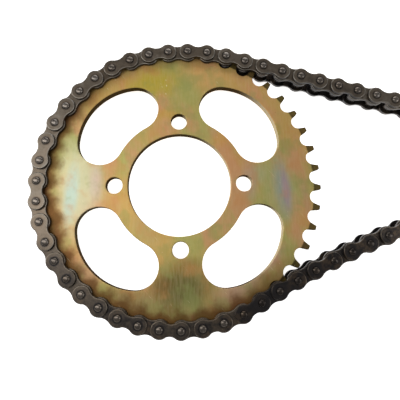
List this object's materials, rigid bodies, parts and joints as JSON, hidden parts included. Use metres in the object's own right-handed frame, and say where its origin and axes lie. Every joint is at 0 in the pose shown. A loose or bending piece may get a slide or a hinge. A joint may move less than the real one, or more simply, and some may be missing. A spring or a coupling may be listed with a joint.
{
  "type": "motorcycle drive chain",
  "caption": "Motorcycle roller drive chain closed round a gold-plated rear sprocket with kidney windows and a small splined front sprocket, hinged link by link.",
  "frame": {"origin": "centre of the rear sprocket's bore, half way through its thickness", "axes": "+Z along both sprockets' axes, out of the side that the connecting link's clip is on; +X towards the front sprocket; the part lies flat on its pin ends"},
  "size_m": [0.3166, 0.186, 0.0194],
  "materials": {
    "gold_plating": "yellow zinc plate with a rainbow tint",
    "hardened_steel": "dark hardened steel",
    "chain_steel": "oiled, blued steel",
    "pin_steel": "oiled, polished pin ends",
    "roller_steel": "smooth oiled steel",
    "spring_steel": "bright spring steel"
  },
  "bodies": {
    "rear_sprocket": {"rear_sprocket": "gold_plating", "rear_wrap_outer_plates": "chain_steel", "rear_wrap_pins": "pin_steel", "rear_wrap_inner_plates": "chain_steel", "rear_wrap_bushes": "chain_steel", "rear_wrap_rollers": "roller_steel"},
    "seating_links": {"seating_link_01": "chain_steel", "seating_link_02": "chain_steel", "seating_link_03": "chain_steel", "seating_link_04": "chain_steel"},
    "upper_link_01": {"upper_run_link_01": "chain_steel"},
    "upper_link_02": {"upper_run_link_02": "chain_steel"},
    "upper_link_03": {"upper_run_link_03": "chain_steel"},
    "upper_link_04": {"upper_run_link_04": "chain_steel"},
    "upper_link_05": {"upper_run_link_05": "chain_steel"},
    "upper_link_06": {"upper_run_link_06": "chain_steel"},
    "upper_link_07": {"upper_run_link_07": "chain_steel"},
    "upper_link_08": {"upper_run_link_08": "chain_steel"},
    "upper_link_09": {"upper_run_link_09": "chain_steel"},
    "upper_link_10": {"upper_run_link_10": "chain_steel"},
    "upper_link_11": {"upper_run_link_11": "chain_steel"},
    "upper_link_12": {"upper_run_link_12": "chain_steel"},
    "upper_link_13": {"upper_run_link_13": "chain_steel"},
    "front_sprocket": {"front_sprocket": "hardened_steel", "front_wrap_outer_plates": "chain_steel", "front_wrap_pins": "pin_steel", "front_wrap_inner_plates": "chain_steel", "front_wrap_bushes": "chain_steel", "front_wrap_rollers": "roller_steel"},
    "release_link": {"release_link_01": "chain_steel"},
    "lower_link_01": {"lower_run_link_01": "chain_steel"},
    "lower_link_02": {"lower_run_link_02": "chain_steel"},
    "lower_link_03": {"lower_run_link_03": "chain_steel"},
    "lower_link_04": {"lower_run_link_04": "chain_steel"},
    "lower_link_05": {"lower_run_link_05": "chain_steel"},
    "lower_link_06": {"lower_run_link_06": "chain_steel"},
    "lower_link_07": {"lower_run_link_07": "chain_steel"},
    "lower_link_08": {"lower_run_link_08": "chain_steel"},
    "lower_link_09": {"lower_run_link_09": "chain_steel"},
    "lower_link_10": {"lower_run_link_10": "chain_steel"},
    "lower_link_11": {"lower_run_link_11": "chain_steel"},
    "connecting_link": {"connecting_link_pins": "pin_steel", "connecting_link_plate": "chain_steel", "connecting_link_clip": "spring_steel"}
  },
  "joints": [
    {"name": "seating_pivot", "type": "hinge", "parent": "rear_sprocket", "child": "seating_links", "pos_m": [-0.00635, 0.08676, 0], "axis": [0, 0, 1], "range_deg": [-2.14, 0.05]},
    {"name": "upper_entry_pivot", "type": "hinge", "parent": "seating_links", "child": "upper_link_01", "pos_m": [0.04366, 0.08033, 0], "axis": [0, 0, 1], "range_deg": [-6.62, 0.14]},
    {"name": "upper_pivot_01", "type": "hinge", "parent": "upper_link_01", "child": "upper_link_02", "pos_m": [0.05583, 0.07672, 0], "axis": [0, 0, 1], "range_deg": [-1.45, 1.45]},
    {"name": "upper_pivot_02", "type": "hinge", "parent": "upper_link_02", "child": "upper_link_03", "pos_m": [0.06802, 0.07314, 0], "axis": [0, 0, 1], "range_deg": [-1.45, 1.45]},
    {"name": "upper_pivot_03", "type": "hinge", "parent": "upper_link_03", "child": "upper_link_04", "pos_m": [0.08022, 0.06962, 0], "axis": [0, 0, 1], "range_deg": [-1.45, 1.45]},
    {"name": "upper_pivot_04", "type": "hinge", "parent": "upper_link_04", "child": "upper_link_05", "pos_m": [0.09243, 0.06613, 0], "axis": [0, 0, 1], "range_deg": [-1.45, 1.45]},
    {"name": "upper_pivot_05", "type": "hinge", "parent": "upper_link_05", "child": "upper_link_06", "pos_m": [0.10466, 0.06269, 0], "axis": [0, 0, 1], "range_deg": [-1.45, 1.45]},
    {"name": "upper_run_slack", "type": "hinge", "parent": "upper_link_06", "child": "upper_link_07", "pos_m": [0.11689, 0.05929, 0], "axis": [0, 0, 1], "range_deg": [-1.4, 1]},
    {"name": "upper_pivot_07", "type": "hinge", "parent": "upper_link_07", "child": "upper_link_08", "pos_m": [0.12914, 0.05594, 0], "axis": [0, 0, 1], "range_deg": [-1.45, 1.45]},
    {"name": "upper_pivot_08", "type": "hinge", "parent": "upper_link_08", "child": "upper_link_09", "pos_m": [0.1414, 0.05263, 0], "axis": [0, 0, 1], "range_deg": [-1.45, 1.45]},
    {"name": "upper_pivot_09", "type": "hinge", "parent": "upper_link_09", "child": "upper_link_10", "pos_m": [0.15368, 0.04936, 0], "axis": [0, 0, 1], "range_deg": [-1.45, 1.45]},
    {"name": "upper_pivot_10", "type": "hinge", "parent": "upper_link_10", "child": "upper_link_11", "pos_m": [0.16596, 0.04614, 0], "axis": [0, 0, 1], "range_deg": [-1.45, 1.45]},
    {"name": "upper_pivot_11", "type": "hinge", "parent": "upper_link_11", "child": "upper_link_12", "pos_m": [0.17826, 0.04296, 0], "axis": [0, 0, 1], "range_deg": [-1.45, 1.45]},
    {"name": "upper_pivot_12", "type": "hinge", "parent": "upper_link_12", "child": "upper_link_13", "pos_m": [0.19056, 0.03982, 0], "axis": [0, 0, 1], "range_deg": [-1.45, 1.45]},
    {"name": "front_sprocket_turn", "type": "hinge", "parent": "upper_link_13", "child": "front_sprocket", "pos_m": [0.20288, 0.03673, 0], "axis": [0, 0, 1], "range_deg": [0, 25.92]},
    {"name": "release_pivot", "type": "hinge", "parent": "rear_sprocket", "child": "release_link", "pos_m": [0.03692, -0.07877, 0], "axis": [0, 0, 1], "range_deg": [-8.23, 0.17]},
    {"name": "lower_exit_pivot", "type": "hinge", "parent": "release_link", "child": "lower_link_01", "pos_m": [0.048, -0.07255, 0], "axis": [0, 0, 1], "range_deg": [-1.86, 0.05]},
    {"name": "lower_pivot_01", "type": "hinge", "parent": "lower_link_01", "child": "lower_link_02", "pos_m": [0.05904, -0.06627, 0], "axis": [0, 0, 1], "range_deg": [-0.52, 0.52]},
    {"name": "lower_pivot_02", "type": "hinge", "parent": "lower_link_02", "child": "lower_link_03", "pos_m": [0.07024, -0.06029, 0], "axis": [0, 0, 1], "range_deg": [-0.52, 0.52]},
    {"name": "lower_pivot_03", "type": "hinge", "parent": "lower_link_03", "child": "lower_link_04", "pos_m": [0.08159, -0.0546, 0], "axis": [0, 0, 1], "range_deg": [-0.52, 0.52]},
    {"name": "lower_pivot_04", "type": "hinge", "parent": "lower_link_04", "child": "lower_link_05", "pos_m": [0.09309, -0.04921, 0], "axis": [0, 0, 1], "range_deg": [-0.52, 0.52]},
    {"name": "lower_pivot_05", "type": "hinge", "parent": "lower_link_05", "child": "lower_link_06", "pos_m": [0.10473, -0.04412, 0], "axis": [0, 0, 1], "range_deg": [-0.52, 0.52]},
    {"name": "lower_run_slack", "type": "hinge", "parent": "lower_link_06", "child": "lower_link_07", "pos_m": [0.11649, -0.03933, 0], "axis": [0, 0, 1], "range_deg": [-0.5, 0.5]},
    {"name": "lower_pivot_07", "type": "hinge", "parent": "lower_link_07", "child": "lower_link_08", "pos_m": [0.12838, -0.03486, 0], "axis": [0, 0, 1], "range_deg": [-0.52, 0.52]},
    {"name": "lower_pivot_08", "type": "hinge", "parent": "lower_link_08", "child": "lower_link_09", "pos_m": [0.14038, -0.0307, 0], "axis": [0, 0, 1], "range_deg": [-0.52, 0.52]},
    {"name": "lower_pivot_09", "type": "hinge", "parent": "lower_link_09", "child": "lower_link_10", "pos_m": [0.15248, -0.02685, 0], "axis": [0, 0, 1], "range_deg": [-0.52, 0.52]},
    {"name": "lower_pivot_10", "type": "hinge", "parent": "lower_link_10", "child": "lower_link_11", "pos_m": [0.16468, -0.02333, 0], "axis": [0, 0, 1], "range_deg": [-0.52, 0.52]},
    {"name": "lower_pivot_11", "type": "hinge", "parent": "lower_link_11", "child": "connecting_link", "pos_m": [0.17697, -0.02012, 0], "axis": [0, 0, 1], "range_deg": [-0.52, 0.52]}
  ],
  "couplings": [
    {"joint": "seating_pivot", "follows": "front_sprocket_turn", "ratio": -0.080753},
    {"joint": "upper_entry_pivot", "follows": "front_sprocket_turn", "ratio": -0.25015},
    {"joint": "upper_pivot_01", "follows": "upper_run_slack", "ratio": -1},
    {"joint": "upper_pivot_02", "follows": "upper_run_slack", "ratio": -1},
    {"joint": "upper_pivot_03", "follows": "upper_run_slack", "ratio": -1},
    {"joint": "upper_pivot_04", "follows": "upper_run_slack", "ratio": 1},
    {"joint": "upper_pivot_05", "follows": "upper_run_slack", "ratio": 1},
    {"joint": "upper_pivot_07", "follows": "upper_run_slack", "ratio": 1},
    {"joint": "upper_pivot_08", "follows": "upper_run_slack", "ratio": 1},
    {"joint": "upper_pivot_09", "follows": "upper_run_slack", "ratio": 1},
    {"joint": "upper_pivot_10", "follows": "upper_run_slack", "ratio": -1},
    {"joint": "upper_pivot_11", "follows": "upper_run_slack", "ratio": -1},
    {"joint": "upper_pivot_12", "follows": "upper_run_slack", "ratio": -1},
    {"joint": "release_pivot", "follows": "front_sprocket_turn", "ratio": -0.31077},
    {"joint": "lower_exit_pivot", "follows": "front_sprocket_turn", "ratio": -0.070086},
    {"joint": "lower_pivot_01", "follows": "lower_run_slack", "ratio": -0.83333},
    {"joint": "lower_pivot_02", "follows": "lower_run_slack", "ratio": -0.83333},
    {"joint": "lower_pivot_03", "follows": "lower_run_slack", "ratio": -0.83333},
    {"joint": "lower_pivot_04", "follows": "lower_run_slack", "ratio": 1},
    {"joint": "lower_pivot_05", "follows": "lower_run_slack", "ratio": 1},
    {"joint": "lower_pivot_07", "follows": "lower_run_slack", "ratio": 1},
    {"joint": "lower_pivot_08", "follows": "lower_run_slack", "ratio": 1},
    {"joint": "lower_pivot_09", "follows": "lower_run_slack", "ratio": -0.83333},
    {"joint": "lower_pivot_10", "follows": "lower_run_slack", "ratio": -0.83333},
    {"joint": "lower_pivot_11", "follows": "lower_run_slack", "ratio": -0.83333}
  ]
}
